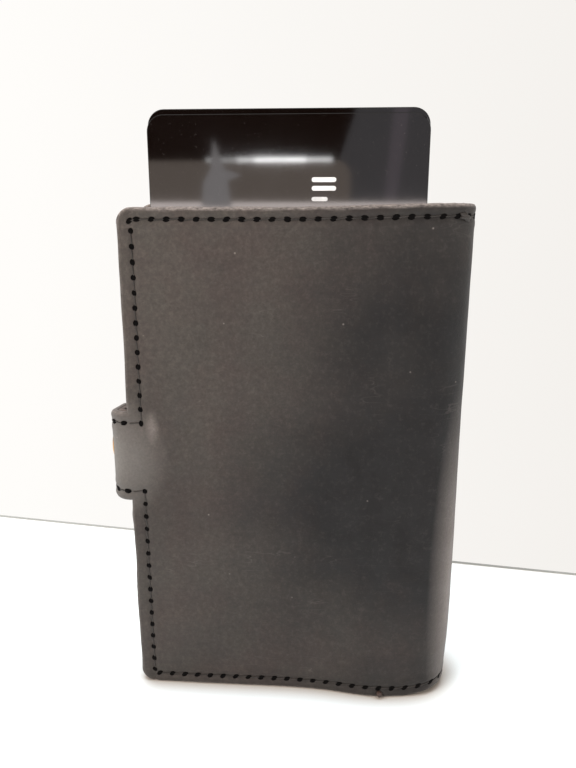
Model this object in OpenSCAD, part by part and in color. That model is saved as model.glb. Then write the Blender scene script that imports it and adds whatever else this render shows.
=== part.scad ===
// Card holder: a slim metal pop-up card case bonded inside a two-ply leather cover.
// The cover folds round the case like a book. A strap from the back panel closes it at the side.
// X runs from the strap side to the spine, Y from the back panel to the front flap, Z upwards.
// The origin is at the middle of the footprint, on the surface that the cover stands on.
// It is drawn closed, with the lever pressed and the cards standing out of the top.

/* [Leather cover] */
// Height of the leather cover
cover_h = 105; // [103:0.5:112]
// Width from the snap cap's face to the outside of the spine
overall_w = 74.6; // [74.6:0.1:78]
// Thickness of the outer leather ply
outer_ply = 1.4; // [1.2:0.1:1.6]
// Thickness of the lining ply
lining_ply = 1.2; // [1:0.1:1.2]
// Outside radius of the two bends beside the spine
spine_r = 7; // [6:0.5:7]
// Corner radius at the panels' free edges
corner_r = 3; // [2:0.5:5]
// How far the strap stands out past the back panel's free edge
strap_reach = 4.2; // [4.2:0.1:5]

/* [Strap and closure] */
// Width of the strap along the height
strap_w = 19.5; // [17:0.5:22]
// Height of the strap's middle above the base
strap_z = 54.2; // [50:0.5:60]
// Outside radius of the strap's bend
strap_r = 4; // [3.8:0.1:4.2]
// Diameter of the brass cap on the strap
cap_d = 9; // [8:0.5:10]
// How far the brass cap stands proud of the strap
cap_proud = 1; // [0.8:0.1:1.2]
// Diameter of the closure magnets
magnet_d = 8; // [6:0.5:8]

/* [Card case] */
// Width of the metal sleeve
case_w = 63.5; // [63:0.1:64]
// Thickness of the metal sleeve
case_t = 9; // [9:0.1:9.6]
// Wall of the metal sleeve
case_wall = 0.8; // [0.6:0.1:0.8]
// Height of the case's foot above the base
case_foot = 3; // [2:0.5:3.5]
// How far the sleeve's mouth stays below the cover's top edge
mouth_drop = 3; // [1.5:0.5:4]

/* [Cards] */
// Width of a card
card_w = 53.98; // [53.92:0.01:54.03]
// Height of a card
card_h = 85.6; // [85.47:0.01:85.72]
// Thickness of a card
card_t = 0.76; // [0.68:0.01:0.84]
// Corner radius of a card
card_r = 3.18; // [2.88:0.01:3.48]
// Distance from one card's face to the next
card_pitch = 0.9; // [0.9:0.01:0.95]

/* [Ejector] */
// How far the lever lifts the cards
lift = 22.6; // [20:0.1:22.6]
// Distance from the lever's pin to its nose
arm_length = 45; // [43:0.5:46]
// Rise from one step of the lifter to the next
step_rise = 1.05; // [0.8:0.05:1.2]
// Number of steps on the lifter
step_count = 7; // [5:1:7]
// Radius of the lever's pin
pin_r = 1; // [0.8:0.1:1.2]

/* [Stitching] */
// Distance from one stitch to the next
stitch_pitch = 2.9; // [2.5:0.1:3.5]
// Distance of the seam from the leather's edge
seam_inset = 2.2; // [2:0.1:3]

/* [Hidden] */
$fn = 64;
fit_gap = 0.3;
cover_t = outer_ply + lining_ply;
pad_t = 0.4;
pocket_ply = 0.9;
flap_gap = 0.4;
holder_t = 2 * cover_t + pad_t + case_t + flap_gap + 2 * pocket_ply;

// Places along X
spine_x = overall_w / 2;
strap_x = cap_proud - overall_w / 2;
panel_x = strap_x + strap_reach;
bend_x = spine_x - spine_r;
panel_w = bend_x - panel_x;
case_x = panel_x + 1.1 + case_w / 2;
card_x = case_x;

// Places along Y, from the back panel's outer face to the flap's outer face
back_y = -holder_t / 2;
front_y = holder_t / 2;
case_y = back_y + cover_t + pad_t + case_t / 2;
cavity_back = case_y - case_t / 2 + case_wall;
cavity_front = case_y + case_t / 2 - case_wall;
first_card_y = cavity_back + 0.25;
flap_inner_y = front_y - cover_t;

// Places along Z
case_top = cover_h - mouth_drop;
cap_floor = case_foot + 1.4;
sleeve_h = case_top - cap_floor;

// Spine
spine_flat = holder_t - 2 * spine_r;

// Lever: pin place, resting tilt, and swing between its two stops
pin_x = case_x - case_w / 2 + 5;
pin_z = 10;
nose_drop = 2;
nose_r = 1.6;
down_tilt = asin(nose_drop / arm_length);
up_tilt = asin((lift - nose_drop) / arm_length);
swing = down_tilt + up_tilt;
nose_x = arm_length * cos(down_tilt);
lever_t = 4;
lever_y = case_y - lever_t / 2;
hub_r = 3.2;
pin_gap = 0.04;

// Lifter, drawn in its raised place
lifter_gap = 0.45;
lifter_z = pin_z - nose_drop + nose_r + lifter_gap + lift;
lifter_base = 3.9;
lifter_x0 = case_x - 15;
lifter_x1 = case_x + card_w / 2 - 1;
card_rest_gap = 0.05;
first_card_z = lifter_z + lifter_base + card_rest_gap;

// Side guides
guide_gap = 1.2;
grip_t = 0.6;
guide_z0 = 14.5;

// Seam thread
thread_w = 0.5;
stitch_len = 2.1;
groove_w = 0.8;
groove_d = 0.3;

// Flap tab and its magnet
tab_w = strap_w - 2.5;
tab_r = 4;
tab_gap = 0.6;
tab_x = strap_x + cover_t + tab_gap;
tab_bend_x = tab_x + tab_r;
tab_reach = 9;
strap_end_y = front_y - 2;
side_y0 = back_y + strap_r;
closure_y = case_y + 0.7;
closure_z = strap_z + 1;
mate_t = 0.4;
post_r = 1.2;
strap_end_r = 4.5;
cap_rim = 0.5;
flap_x = panel_x + 0.4;

// A flat rectangle with its corner at the origin and four round corners
module round_rect(w, h, r) {
    translate([r, 0]) square([w - 2 * r, h]);
    translate([0, r]) square([w, h - 2 * r]);
    for (x = [r, w - r], y = [r, h - r]) translate([x, y]) circle(r);
}

// A flat rectangle whose corners are round on the low-X side only
module edge_rounded(w, h, r) {
    translate([r, 0]) square([w - r, h]);
    translate([0, r]) square([w, h - 2 * r]);
    for (z = [r, h - r]) translate([r, z]) circle(r);
}

// Stands a flat outline up in the XZ plane, from y to y + t
module upright(y, t) {
    translate([0, y + t, 0]) rotate([90, 0, 0]) linear_extrude(t) children();
}

// One stitch, or one length of groove, centred on x, z and lying along a direction in degrees
module seam_bar(x, z, along, length, width, y, depth) {
    translate([x, y, z]) rotate([0, -along, 0]) translate([-length / 2, 0, -width / 2])
        cube([length, depth, width]);
}

// A row of stitches between two points of the XZ plane
module stitch_row(from, to, y) {
    run = norm(to - from);
    count = floor(run / stitch_pitch);
    along = atan2(to[1] - from[1], to[0] - from[0]);
    for (i = [0:count - 1]) {
        spot = from + (to - from) * (i + 0.5) / count;
        seam_bar(spot[0], spot[1], along, stitch_len, thread_w, y, groove_d);
    }
}

// The groove that a row of stitches lies in
module stitch_groove(from, to, y) {
    middle = (from + to) / 2;
    along = atan2(to[1] - from[1], to[0] - from[0]);
    seam_bar(middle[0], middle[1], along, norm(to - from) + groove_w, groove_w, y, groove_d);
}

// The seam round a panel: its straight runs, as pairs of points
function panel_seam() = let (
    x0 = panel_x + seam_inset, x1 = bend_x - 0.6, z0 = seam_inset, z1 = cover_h - seam_inset,
    s0 = strap_z - strap_w / 2 + seam_inset, s1 = strap_z + strap_w / 2 - seam_inset
) [
    [[x0, z1], [x1, z1]], [[x0, z0], [x1, z0]],
    [[x0, z0], [x0, s0]], [[x0, s1], [x0, z1]]
];

// The strap's seam runs along its two long edges, on the side face
function strap_seam() = [
    for (side = [-1, 1]) strap_z + side * (strap_w / 2 - seam_inset)
];

// --- Back panel, bonded to the case ---

module back_panel_outline() {
    translate([panel_x, 0]) edge_rounded(panel_w, cover_h, corner_r);
    translate([strap_x + strap_r, strap_z - strap_w / 2])
        square([panel_x - strap_x - strap_r + corner_r, strap_w]);
}

module back_cover() {
    color("#4c4541") difference() {
        upright(back_y, outer_ply) back_panel_outline();
        for (run = panel_seam())
            stitch_groove(run[0], run[1], back_y);
    }
}

module back_lining() {
    color("#6b625c") upright(back_y + outer_ply, lining_ply) back_panel_outline();
}

module back_stitching() {
    color("#17130f") for (run = panel_seam()) stitch_row(run[0], run[1], back_y);
}

module bonding_pad() {
    color("#d9d4c8") upright(back_y + cover_t, pad_t)
        translate([case_x - 27, case_foot + 4]) round_rect(54, cover_h - 14, 2);
}

// --- Card case ---

// The sleeve's outline seen from above, moved in by a given distance
module case_outline(inset) {
    r = 2.5;
    translate([case_x - case_w / 2 + inset, case_y - case_t / 2 + inset])
        round_rect(case_w - 2 * inset, case_t - 2 * inset, r - inset);
}

// The room that the lever's finger pad moves through, open to the strap side
module finger_slot(z0, z1) {
    slot_t = lever_t + 2 * fit_gap;
    translate([case_x - case_w / 2 - 1, case_y - slot_t / 2, z0])
        cube([pin_x - case_x + case_w / 2 + 3.6, slot_t, z1 - z0]);
}

module case_sleeve() {
    color("#8d9196") difference() {
        translate([0, 0, cap_floor]) linear_extrude(sleeve_h) difference() {
            case_outline(0);
            case_outline(case_wall);
        }
        finger_slot(cap_floor - 1, guide_z0 - 0.5);
    }
}

module bottom_cap() {
    block_t = (case_t - 2 * case_wall - lever_t) / 2 - fit_gap;
    block_x = pin_x - 2.6;
    color("#26262a") difference() {
        union() {
            translate([0, 0, case_foot]) linear_extrude(cap_floor - case_foot) case_outline(0);
            for (y = [cavity_back, cavity_front - block_t])
                translate([block_x, y, cap_floor - 0.2]) cube([54, block_t, 3.2]);
            for (y = [cavity_back, cavity_front - block_t])
                translate([block_x, y, cap_floor - 0.2]) cube([6, block_t, 9]);
        }
        finger_slot(case_foot - 1, cap_floor + 1);
        translate([pin_x, cavity_back - 1, pin_z]) rotate([-90, 0, 0]) cylinder(h = case_t, r = pin_r);
    }
}

module lever_pin() {
    color("#b9bcc0") translate([pin_x, cavity_back, pin_z]) rotate([-90, 0, 0])
        cylinder(h = cavity_front - cavity_back, r = pin_r);
}

// A guide rail that fills the sleeve's round side and keeps the cards central
module side_guide(side) {
    reach = case_w / 2 - card_w / 2 - guide_gap;
    x0 = side < 0 ? case_x - case_w / 2 : case_x + case_w / 2 - reach;
    color("#2d2d31") translate([0, 0, guide_z0]) linear_extrude(case_top - guide_z0 - 1) intersection() {
        case_outline(case_wall + 0.05);
        translate([x0, cavity_back - 1]) square([reach, case_t]);
    }
}

module side_guide_left() {
    side_guide(-1);
}

module side_guide_right() {
    side_guide(1);
}

// A soft strip on the guide's face that holds the cards by their long edges
module grip_strip(side) {
    face = case_x + side * (card_w / 2 + guide_gap);
    color("#3a3a3a") translate([side < 0 ? face : face - grip_t, cavity_back + 0.6, guide_z0 + 40])
        cube([grip_t, case_t - 2 * case_wall - 1.2, 44]);
}

module grip_strip_left() {
    grip_strip(-1);
}

module grip_strip_right() {
    grip_strip(1);
}

// Two felt strips inside the mouth that keep the last card from scratching
module wall_felt() {
    felt_t = 0.4;
    color("#3b3936") for (side = [-1, 1])
        translate([case_x + side * 18 - 4, cavity_front - felt_t, case_top - 46])
            cube([8, felt_t, 42]);
}

// --- Ejector ---

// The lever's arm about its pin, drawn with the nose down
module arm_outline() {
    top = nose_r - nose_drop - 0.1;
    low = top - 3.8;
    polygon([
        [-1, 2.4], [2.4, 1.6], [12, top], [nose_x - 0.5, top], [nose_x + 0.5, -nose_drop],
        [nose_x - 0.5, -nose_drop - nose_r + 0.2], [nose_x - 6, low], [3, low], [-1, -2.4]
    ]);
}

// The finger pad, drawn about the pin with the lever pressed in
module pad_outline() {
    polygon([[-4.8, -6.6], [-1.4, -6.6], [1.2, -2.2], [-1.4, 2.2], [-4.4, 1.4], [-4.8, 0.4]]);
}

module ejector_lever() {
    color("#1f1f22") difference() {
        translate([pin_x, lever_y + lever_t, pin_z]) rotate([90, 0, 0]) union() {
            cylinder(h = lever_t, r = hub_r);
            rotate([0, 0, swing]) linear_extrude(lever_t) arm_outline();
            rotate([0, 0, swing]) translate([nose_x, -nose_drop, 0])
                cylinder(h = lever_t, r = nose_r);
            linear_extrude(lever_t) pad_outline();
        }
        translate([pin_x, lever_y - 1, pin_z]) rotate([-90, 0, 0])
            cylinder(h = lever_t + 2, r = pin_r + pin_gap);
    }
}

// A flight of steps, one for each card, so that the cards fan out as they rise
module card_lifter() {
    edge_gap = 0.1;
    y0 = cavity_back + edge_gap;
    y1 = cavity_front - edge_gap;
    first_edge = first_card_y + (card_pitch + card_t) / 2;
    edges = [for (i = [0:step_count - 1]) first_edge + i * card_pitch];
    stairs = [for (i = [0:step_count - 1]) each [
        [i == 0 ? y0 : edges[i - 1], lifter_base + i * step_rise],
        [i == step_count - 1 ? y1 : edges[i], lifter_base + i * step_rise]
    ]];
    color("#1f1f22") translate([lifter_x0, 0, lifter_z]) rotate([90, 0, 90])
        linear_extrude(lifter_x1 - lifter_x0) polygon(concat([[y1, 0], [y0, 0]], stairs));
}

// --- Cards ---

module card(index) {
    color("#0d0c0c") upright(first_card_y + index * card_pitch, card_t)
        translate([card_x - card_w / 2, first_card_z + index * step_rise])
            round_rect(card_w, card_h, card_r);
}

module front_card() {
    card(0);
}

module rear_card() {
    card(1);
}

// --- Spine ---

module spine_cover() {
    color("#4c4541") translate([spine_x - outer_ply, back_y + spine_r, 0])
        cube([outer_ply, spine_flat, cover_h]);
}

module spine_lining() {
    color("#6b625c") translate([spine_x - cover_t, back_y + spine_r, 0])
        cube([lining_ply, spine_flat, cover_h]);
}

// A quarter bend of both plies about an upright line, turned to start at an angle
module quarter_bend(x, y, start, r, t, z0, h) {
    translate([x, y, z0]) rotate(start) rotate_extrude(angle = 90)
        translate([r - t, 0]) square([t, h]);
}

module spine_bend_back() {
    color("#48413d") quarter_bend(bend_x, back_y + spine_r, -90, spine_r, cover_t, 0, cover_h);
}

module spine_bend_front() {
    color("#48413d") quarter_bend(bend_x, front_y - spine_r, 0, spine_r, cover_t, 0, cover_h);
}

// --- Front flap ---

// The flap's outline, cut back to where its tab bends round the side
module flap_outline() {
    difference() {
        translate([flap_x, 0]) edge_rounded(bend_x - flap_x, cover_h, corner_r);
        translate([flap_x - 1, strap_z - tab_w / 2]) square([tab_bend_x - flap_x + 1, tab_w]);
    }
}

function flap_seam() = let (
    x0 = flap_x + seam_inset, x1 = bend_x - 0.6, z0 = seam_inset, z1 = cover_h - seam_inset,
    t0 = strap_z - tab_w / 2 - 1, t1 = strap_z + tab_w / 2 + 1
) [
    [[x0, z1], [x1, z1]], [[x0, z0], [x1, z0]],
    [[x0, z0], [x0, t0]], [[x0, t1], [x0, z1]]
];

module flap_cover() {
    color("#4c4541") difference() {
        upright(front_y - outer_ply, outer_ply) flap_outline();
        for (run = flap_seam())
            stitch_groove(run[0], run[1], front_y - groove_d);
    }
}

module flap_lining() {
    color("#6b625c") upright(flap_inner_y, lining_ply) flap_outline();
}

module flap_stitching() {
    color("#17130f") for (run = flap_seam()) stitch_row(run[0], run[1], front_y - groove_d);
}

// A leather pocket panel inside the flap, with a thumb notch in its upper edge
module pocket(y, h) {
    x0 = tab_bend_x + 0.6;
    w = bend_x - x0 - 1;
    color("#5a514c") upright(y, pocket_ply) difference() {
        translate([x0, 1]) round_rect(w, h, 1.5);
        translate([x0 + w / 2, 1 + h]) circle(9);
    }
}

module pocket_lower() {
    pocket(flap_inner_y - 2 * pocket_ply, 58);
}

module pocket_upper() {
    pocket(flap_inner_y - pocket_ply, 82);
}

// The pockets' seam, through the lower pocket's face
module pocket_stitching() {
    y = flap_inner_y - 2 * pocket_ply - 0.15;
    x0 = tab_bend_x + 0.6 + 1.6;
    x1 = bend_x - 2.6;
    rows = [[[x0, 2.6], [x1, 2.6]], [[x0, 4], [x0, 56]], [[x1, 4], [x1, 56]]];
    color("#17130f") for (run = rows, i = [0:floor(norm(run[1] - run[0]) / stitch_pitch) - 1]) {
        count = floor(norm(run[1] - run[0]) / stitch_pitch);
        spot = run[0] + (run[1] - run[0]) * (i + 0.5) / count;
        along = atan2(run[1][1] - run[0][1], run[1][0] - run[0][0]);
        seam_bar(spot[0], spot[1], along, stitch_len, thread_w, y, 0.15);
    }
}

// The flap's own short tab goes round the side, under the strap, and carries the closure's mate
module flap_tab() {
    z0 = strap_z - tab_w / 2;
    color("#48413d") {
        quarter_bend(tab_bend_x, front_y - tab_r, 90, tab_r, outer_ply, z0, tab_w);
        translate([tab_x, front_y - tab_r - tab_reach, z0]) cube([outer_ply, tab_reach, tab_w]);
    }
}

module tab_magnet() {
    color("#b08a3c") translate([tab_x - mate_t, closure_y, closure_z]) rotate([0, 90, 0])
        cylinder(h = mate_t, r = magnet_d / 2);
}

// --- Strap ---

module strap_bend() {
    color("#5f5752") quarter_bend(strap_x + strap_r, side_y0, 180, strap_r, cover_t,
        strap_z - strap_w / 2, strap_w);
}

// The strap's side outline in the YZ plane, with a round free end
module strap_outline() {
    h = strap_w;
    length = strap_end_y - side_y0;
    translate([side_y0, strap_z - h / 2]) {
        square([length - strap_end_r, h]);
        translate([0, strap_end_r]) square([length, h - 2 * strap_end_r]);
        for (z = [strap_end_r, h - strap_end_r]) translate([length - strap_end_r, z])
            circle(strap_end_r);
    }
}

// Stands a YZ outline up from x to x + t
module sideways(x, t) {
    translate([x, 0, 0]) rotate([90, 0, 90]) linear_extrude(t) children();
}

module strap_cover() {
    color("#5f5752") difference() {
        sideways(strap_x, outer_ply) strap_outline();
        for (z = strap_seam())
            translate([strap_x - 1, side_y0 - 1, z - groove_w / 2])
                cube([1 + groove_d, strap_end_y - side_y0 - 1.2, groove_w]);
        translate([strap_x - 1, closure_y, closure_z]) rotate([0, 90, 0])
            cylinder(h = cover_t, r = post_r);
    }
}

module strap_lining() {
    color("#6b625c") difference() {
        sideways(strap_x + outer_ply, lining_ply) strap_outline();
        translate([strap_x, closure_y, closure_z]) rotate([0, 90, 0])
            cylinder(h = cover_t + 1, r = magnet_d / 2 + 0.05);
    }
}

module strap_stitching() {
    count = floor((strap_end_y - side_y0 - 2) / stitch_pitch);
    color("#17130f") for (z = strap_seam(), i = [0:count - 1])
        translate([strap_x, side_y0 + 0.4 + i * stitch_pitch, z - thread_w / 2])
            cube([groove_d, stitch_len, thread_w]);
}

// A brass cap with a low rim and a shallow dome, on a post riveted through the outer ply
module snap_cap() {
    dome_h = cap_proud - cap_rim;
    dome_r = (pow(cap_d / 2, 2) + pow(dome_h, 2)) / (2 * dome_h);
    color("#c79a45") translate([strap_x, closure_y, closure_z]) rotate([0, -90, 0]) {
        rotate_extrude() intersection() {
            translate([0, cap_proud - dome_r]) circle(dome_r, $fn = 256);
            square([cap_d / 2, cap_proud]);
        }
        translate([0, 0, -outer_ply]) cylinder(h = outer_ply, r = post_r);
    }
}

module snap_magnet() {
    color("#9a9da1") translate([strap_x + outer_ply, closure_y, closure_z]) rotate([0, 90, 0])
        cylinder(h = lining_ply, r = magnet_d / 2);
}

back_cover();
back_lining();
back_stitching();
bonding_pad();
case_sleeve();
bottom_cap();
lever_pin();
side_guide_left();
side_guide_right();
grip_strip_left();
grip_strip_right();
wall_felt();
ejector_lever();
card_lifter();
front_card();
rear_card();
spine_cover();
spine_lining();
spine_bend_back();
spine_bend_front();
flap_cover();
flap_lining();
flap_stitching();
pocket_lower();
pocket_upper();
pocket_stitching();
flap_tab();
tab_magnet();
strap_bend();
strap_cover();
strap_lining();
strap_stitching();
snap_cap();
snap_magnet();
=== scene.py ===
"""Card holder: a stitched two-ply leather cover folded round a metal pop-up card case.

All shapes are worked out in millimetres and written to the meshes in metres.
X runs from the strap side to the spine, Y from the back panel to the front flap, Z upwards.
A point of the leather is given by its run (mm along the outer face, round the bends),
its height (mm above the base) and its depth (mm outwards from the outer face).
"""
import math

import bpy
import numpy as np
from mathutils import Matrix, Vector


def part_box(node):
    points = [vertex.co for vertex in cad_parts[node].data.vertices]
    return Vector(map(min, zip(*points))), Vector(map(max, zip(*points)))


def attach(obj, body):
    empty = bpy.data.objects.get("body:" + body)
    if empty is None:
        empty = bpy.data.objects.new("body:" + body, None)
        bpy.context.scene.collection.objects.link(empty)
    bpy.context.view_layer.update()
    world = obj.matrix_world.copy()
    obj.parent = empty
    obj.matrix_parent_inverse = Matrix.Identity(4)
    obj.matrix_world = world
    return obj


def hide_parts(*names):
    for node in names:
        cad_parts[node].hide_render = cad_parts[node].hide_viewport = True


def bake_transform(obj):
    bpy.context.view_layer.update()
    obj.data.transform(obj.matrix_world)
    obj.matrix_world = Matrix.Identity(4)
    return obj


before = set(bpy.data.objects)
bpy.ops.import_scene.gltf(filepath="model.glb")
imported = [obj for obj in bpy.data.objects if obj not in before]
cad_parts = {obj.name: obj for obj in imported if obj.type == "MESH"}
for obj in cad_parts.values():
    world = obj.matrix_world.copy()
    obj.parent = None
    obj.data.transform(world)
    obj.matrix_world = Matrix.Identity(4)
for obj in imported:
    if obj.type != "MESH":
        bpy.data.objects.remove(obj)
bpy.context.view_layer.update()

MM = 0.001
TAU = 2 * math.pi


def span(node):
    """Lowest and highest corner of a CAD node at rest, in millimetres."""
    low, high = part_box(node)
    return np.array(low) / MM, np.array(high) / MM


# --- Places, from the frame ---

back_low, back_high = span("back_cover")
flap_low, flap_high = span("flap_cover")
lining_high = span("back_lining")[1]
spine_high = span("spine_cover")[1]
strap_low, strap_high = span("strap_cover")
tab_low, tab_high = span("flap_tab")

HEIGHT = back_high[2]
BACK_Y = back_low[1]
FRONT_Y = flap_high[1]
OUTER_PLY = back_high[1] - back_low[1]
BOTH_PLIES = lining_high[1] - back_low[1]
SPINE_X = spine_high[0]
BEND_X = back_high[0]
BEND_R = SPINE_X - BEND_X
FLAP_X = flap_low[0]
PANEL_X = FLAP_X - 0.4
STRAP_X = strap_low[0]
STRAP_R = strap_low[1] - BACK_Y
STRAP_BEND_X = STRAP_X + STRAP_R
STRAP_LOW = strap_low[2]
STRAP_TOP = strap_high[2]
STRAP_END_Y = strap_high[1]
TAB_LOW = tab_low[2]
TAB_TOP = tab_high[2]
NOTCH_X = tab_high[0]

# Runs along the cover's outer face, from the back panel's free edge
PANEL_RUN = BEND_X - PANEL_X
ARC_RUN = BEND_R * math.pi / 2
SPINE_RUN = (FRONT_Y - BACK_Y) - 2 * BEND_R
MIDDLE_RUN = PANEL_RUN + ARC_RUN + SPINE_RUN / 2
FLAP_START = PANEL_RUN + 2 * ARC_RUN + SPINE_RUN
FLAP_END = FLAP_START + BEND_X - FLAP_X

# Runs along the strap's outer face, from the back panel's free edge
STUB_RUN = PANEL_X - STRAP_BEND_X
STRAP_ARC_RUN = STRAP_R * math.pi / 2
STRAP_END = STUB_RUN + STRAP_ARC_RUN + STRAP_END_Y - strap_low[1]

SEAM_INSET = 2.2
SIDE_INSET = 2.95
STITCH_PITCH = 2.9
PLY_GAP = 0.03
CARD_CORNER_R = 3.18
CARD_EDGE = 0.16
CORNER_R = 3.0


# --- Shape tools ---

def follow(run, depth, start, angle, side, parts):
    """Points of a bent sheet, seen from above.

    The sheet starts at a point with a heading and goes through straight parts (radius None)
    and arcs. In a straight part the point moves along the heading. In an arc of outer radius r
    the heading turns by run / r, away from the outer side, and the point stays r from the
    arc's centre. The result is moved by depth along the outward normal, which is the heading
    turned a quarter to the right (side 1) or to the left (side -1)."""
    place = np.array(start, float)
    xy = np.zeros(run.shape + (2,))
    begin = 0.0
    for index, (length, radius) in enumerate(parts):
        first, last = index == 0, index == len(parts) - 1
        inside = np.ones(run.shape, bool)
        if not first:
            inside &= run >= begin
        if not last:
            inside &= run <= begin + length
        along = run[inside] - begin
        across = depth[inside]
        outward = side * np.array([math.sin(angle), -math.cos(angle)])
        ahead = np.array([math.cos(angle), math.sin(angle)])
        if radius is None:
            xy[inside] = place + along[:, None] * ahead + across[:, None] * outward
            place = place + length * ahead
        else:
            centre = place - radius * outward
            turned = angle + side * along / radius
            normals = side * np.stack([np.sin(turned), -np.cos(turned)], -1)
            xy[inside] = centre + (radius + across)[:, None] * normals
            angle = angle + side * length / radius
            place = centre + radius * side * np.array([math.sin(angle), -math.cos(angle)])
        begin += length
    return xy


COVER_PATH = dict(
    start=(PANEL_X, BACK_Y), angle=0.0, side=1,
    parts=[
        (PANEL_RUN, None), (ARC_RUN, BEND_R), (SPINE_RUN, None), (ARC_RUN, BEND_R), (BEND_X - FLAP_X, None)],
)
STRAP_PATH = dict(
    start=(PANEL_X, BACK_Y), angle=math.pi, side=-1,
    parts=[(STUB_RUN, None), (STRAP_ARC_RUN, STRAP_R), (STRAP_END - STUB_RUN - STRAP_ARC_RUN, None)],
)


def top_rise(run):
    """The top edge creeps up towards the spine and stays up over the flap, in mm: a smooth step
    from a run of 30 mm to 5 mm past the panel."""
    t = np.clip((run - 30) / (PANEL_RUN - 25), 0, 1)
    return 0.75 * t * t * (3 - 2 * t)


def foot_rise(run):
    """The foot is worn up at the spine and stays up over the flap, in mm: a smooth step from 4 mm
    before the first bend to 5 mm into it."""
    t = np.clip((run - PANEL_RUN + 4) / 9, 0, 1)
    return 1.15 * t * t * (3 - 2 * t)


def cover_point(run, height, depth):
    """A point of the cover: its path seen from above, its height, and the rises of the top and
    bottom edges, which fade out as the square of the distance over 26 mm and 12 mm. The leather
    is pressed flat where it stands on the floor."""
    xy = follow(run, depth, **COVER_PATH)
    lift = np.clip((height - HEIGHT * 0.75) / (HEIGHT * 0.25), 0, 1) ** 2
    worn = np.clip(1 - height / 12, 0, 1) ** 2
    level = np.maximum(height + top_rise(run) * lift + foot_rise(run) * worn, 0)
    return np.concatenate([xy, level[..., None]], -1)


def strap_point(run, height, depth):
    """A point of the strap: its path seen from above, and its height, drawn in towards the
    strap's middle by up to a seventh at the free end."""
    xy = follow(run, depth, **STRAP_PATH)
    middle = (STRAP_LOW + STRAP_TOP) / 2
    narrow = 1 - 0.14 * np.clip((run - 3) / (STRAP_END - 3), 0, 1)
    return np.concatenate([xy, (middle + (height - middle) * narrow)[..., None]], -1)


def waves(a, b, size, seed):
    """Gentle unevenness, mostly between -1 and 1: 1.6 times the mean of seven sine waves of 0.7
    to 1.6 times the given wavelength, each with its own direction and phase."""
    rng = np.random.default_rng(seed)
    total = np.zeros(np.broadcast(a, b).shape)
    for _ in range(7):
        turn = rng.uniform(0, TAU)
        wave = size * rng.uniform(0.7, 1.6)
        total = total + np.sin(TAU * (a * math.cos(turn) + b * math.sin(turn)) / wave + rng.uniform(0, TAU))
    return total / 7 * 1.6


def bump(a, b, at_a, at_b, wide_a, wide_b):
    """A bell-shaped rise of height 1 about a point."""
    return np.exp(-(((a - at_a) / wide_a) ** 2) - ((b - at_b) / wide_b) ** 2)


def marks(low, high, step, extra=()):
    """Even grid marks from low to high, with extra marks put in and near doubles taken out."""
    even = np.linspace(low, high, max(2, int(round((high - low) / step)) + 1))
    every = np.unique(np.round(np.concatenate([even, [e for e in extra if low < e < high]]), 4))
    keep = np.concatenate([[True], np.diff(every) > 0.015])
    keep[-1] = True
    return every[keep]


NEAR_EDGE = (0.05, 0.12, 0.22, 0.35, 0.55, 0.8, 1.1, 1.5, 1.9, 2.05, 2.2, 2.35, 2.6, 3.0)


def both_ends(low, high):
    """Marks close to both ends, for a rolled edge and a pressed seam."""
    return [low + e for e in NEAR_EDGE] + [high - e for e in NEAR_EDGE]


def corner_cut(height, radius, top=HEIGHT):
    """How far a round corner pulls a side edge in at a height: r - sqrt(r^2 - (r - d)^2),
    where d is the distance to the nearer end."""
    near = np.clip(radius - np.minimum(height, top - height), 0, radius)
    return radius - np.sqrt(radius ** 2 - near ** 2)


def rolled(distance, deep, wide):
    """The rounding of a cut edge: a quarter ellipse that drops by deep over the last width."""
    t = np.clip(1 - distance / wide, 0, 1)
    return deep * (1 - np.sqrt(1 - t * t))


def make_mesh(name, points, faces, flat=None, rim=None, smooth=True):
    """A mesh object from points in mm, with where each point lies on the flat leather (mm)
    and how near it is to a cut edge (0 to 1) kept as attributes."""
    mesh = bpy.data.meshes.new(name)
    mesh.from_pydata((points * MM).tolist(), [], faces)
    if flat is not None:
        mesh.attributes.new("flat", "FLOAT_VECTOR", "POINT").data.foreach_set(
            "vector", flat.astype(np.float32).ravel())
    if rim is not None:
        mesh.attributes.new("rim", "FLOAT", "POINT").data.foreach_set(
            "value", rim.astype(np.float32).ravel())
    mesh.polygons.foreach_set("use_smooth", [smooth] * len(mesh.polygons))
    mesh.update()
    obj = bpy.data.objects.new(name, mesh)
    bpy.context.scene.collection.objects.link(obj)
    return obj


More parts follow.
